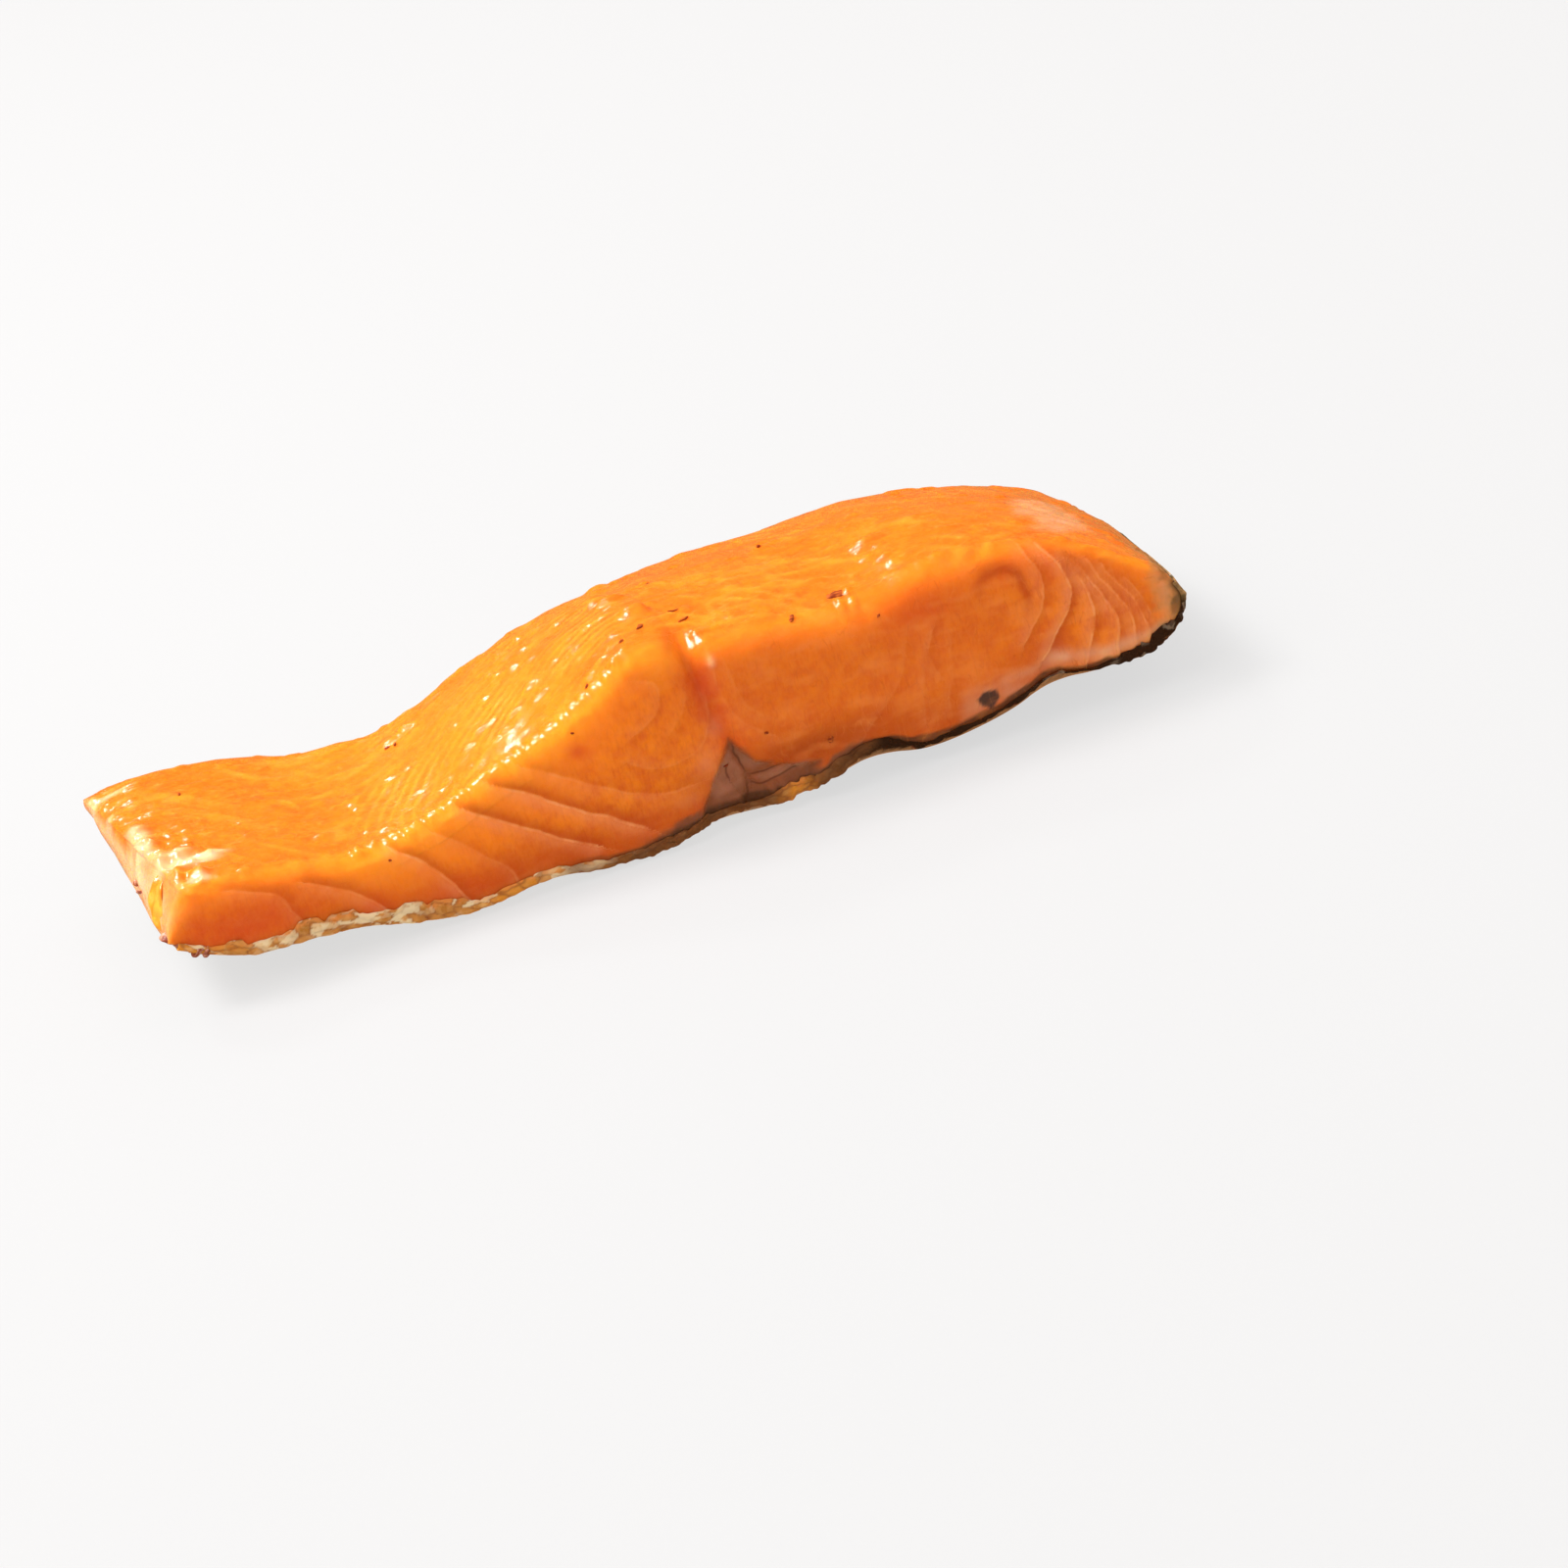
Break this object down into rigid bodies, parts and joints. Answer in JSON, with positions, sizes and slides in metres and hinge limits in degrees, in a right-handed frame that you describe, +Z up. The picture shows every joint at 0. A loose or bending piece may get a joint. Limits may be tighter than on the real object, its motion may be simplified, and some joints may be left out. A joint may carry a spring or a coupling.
{
  "type": "smoked salmon portion",
  "caption": "Thick cut of smoked salmon lying on its skin, deep and rounded at the back of the fish and tapering to a thin belly end that curls up.",
  "frame": {"origin": "centre of the bounding box, on the surface that the portion rests on", "axes": "+X along the length from the thin belly end to the back of the fish, -Y out of the cut face that shows its flakes, +Z up"},
  "size_m": [0.1681, 0.0497, 0.0341],
  "materials": {
    "flesh": "moist, oily smoked fish with a soft glow through its edges",
    "skin": "thin scaly fish skin, silver and cream at the belly, dark olive at the back"
  },
  "bodies": {
    "root": {"flesh": "flesh", "skin": "skin"}
  },
  "joints": []
}
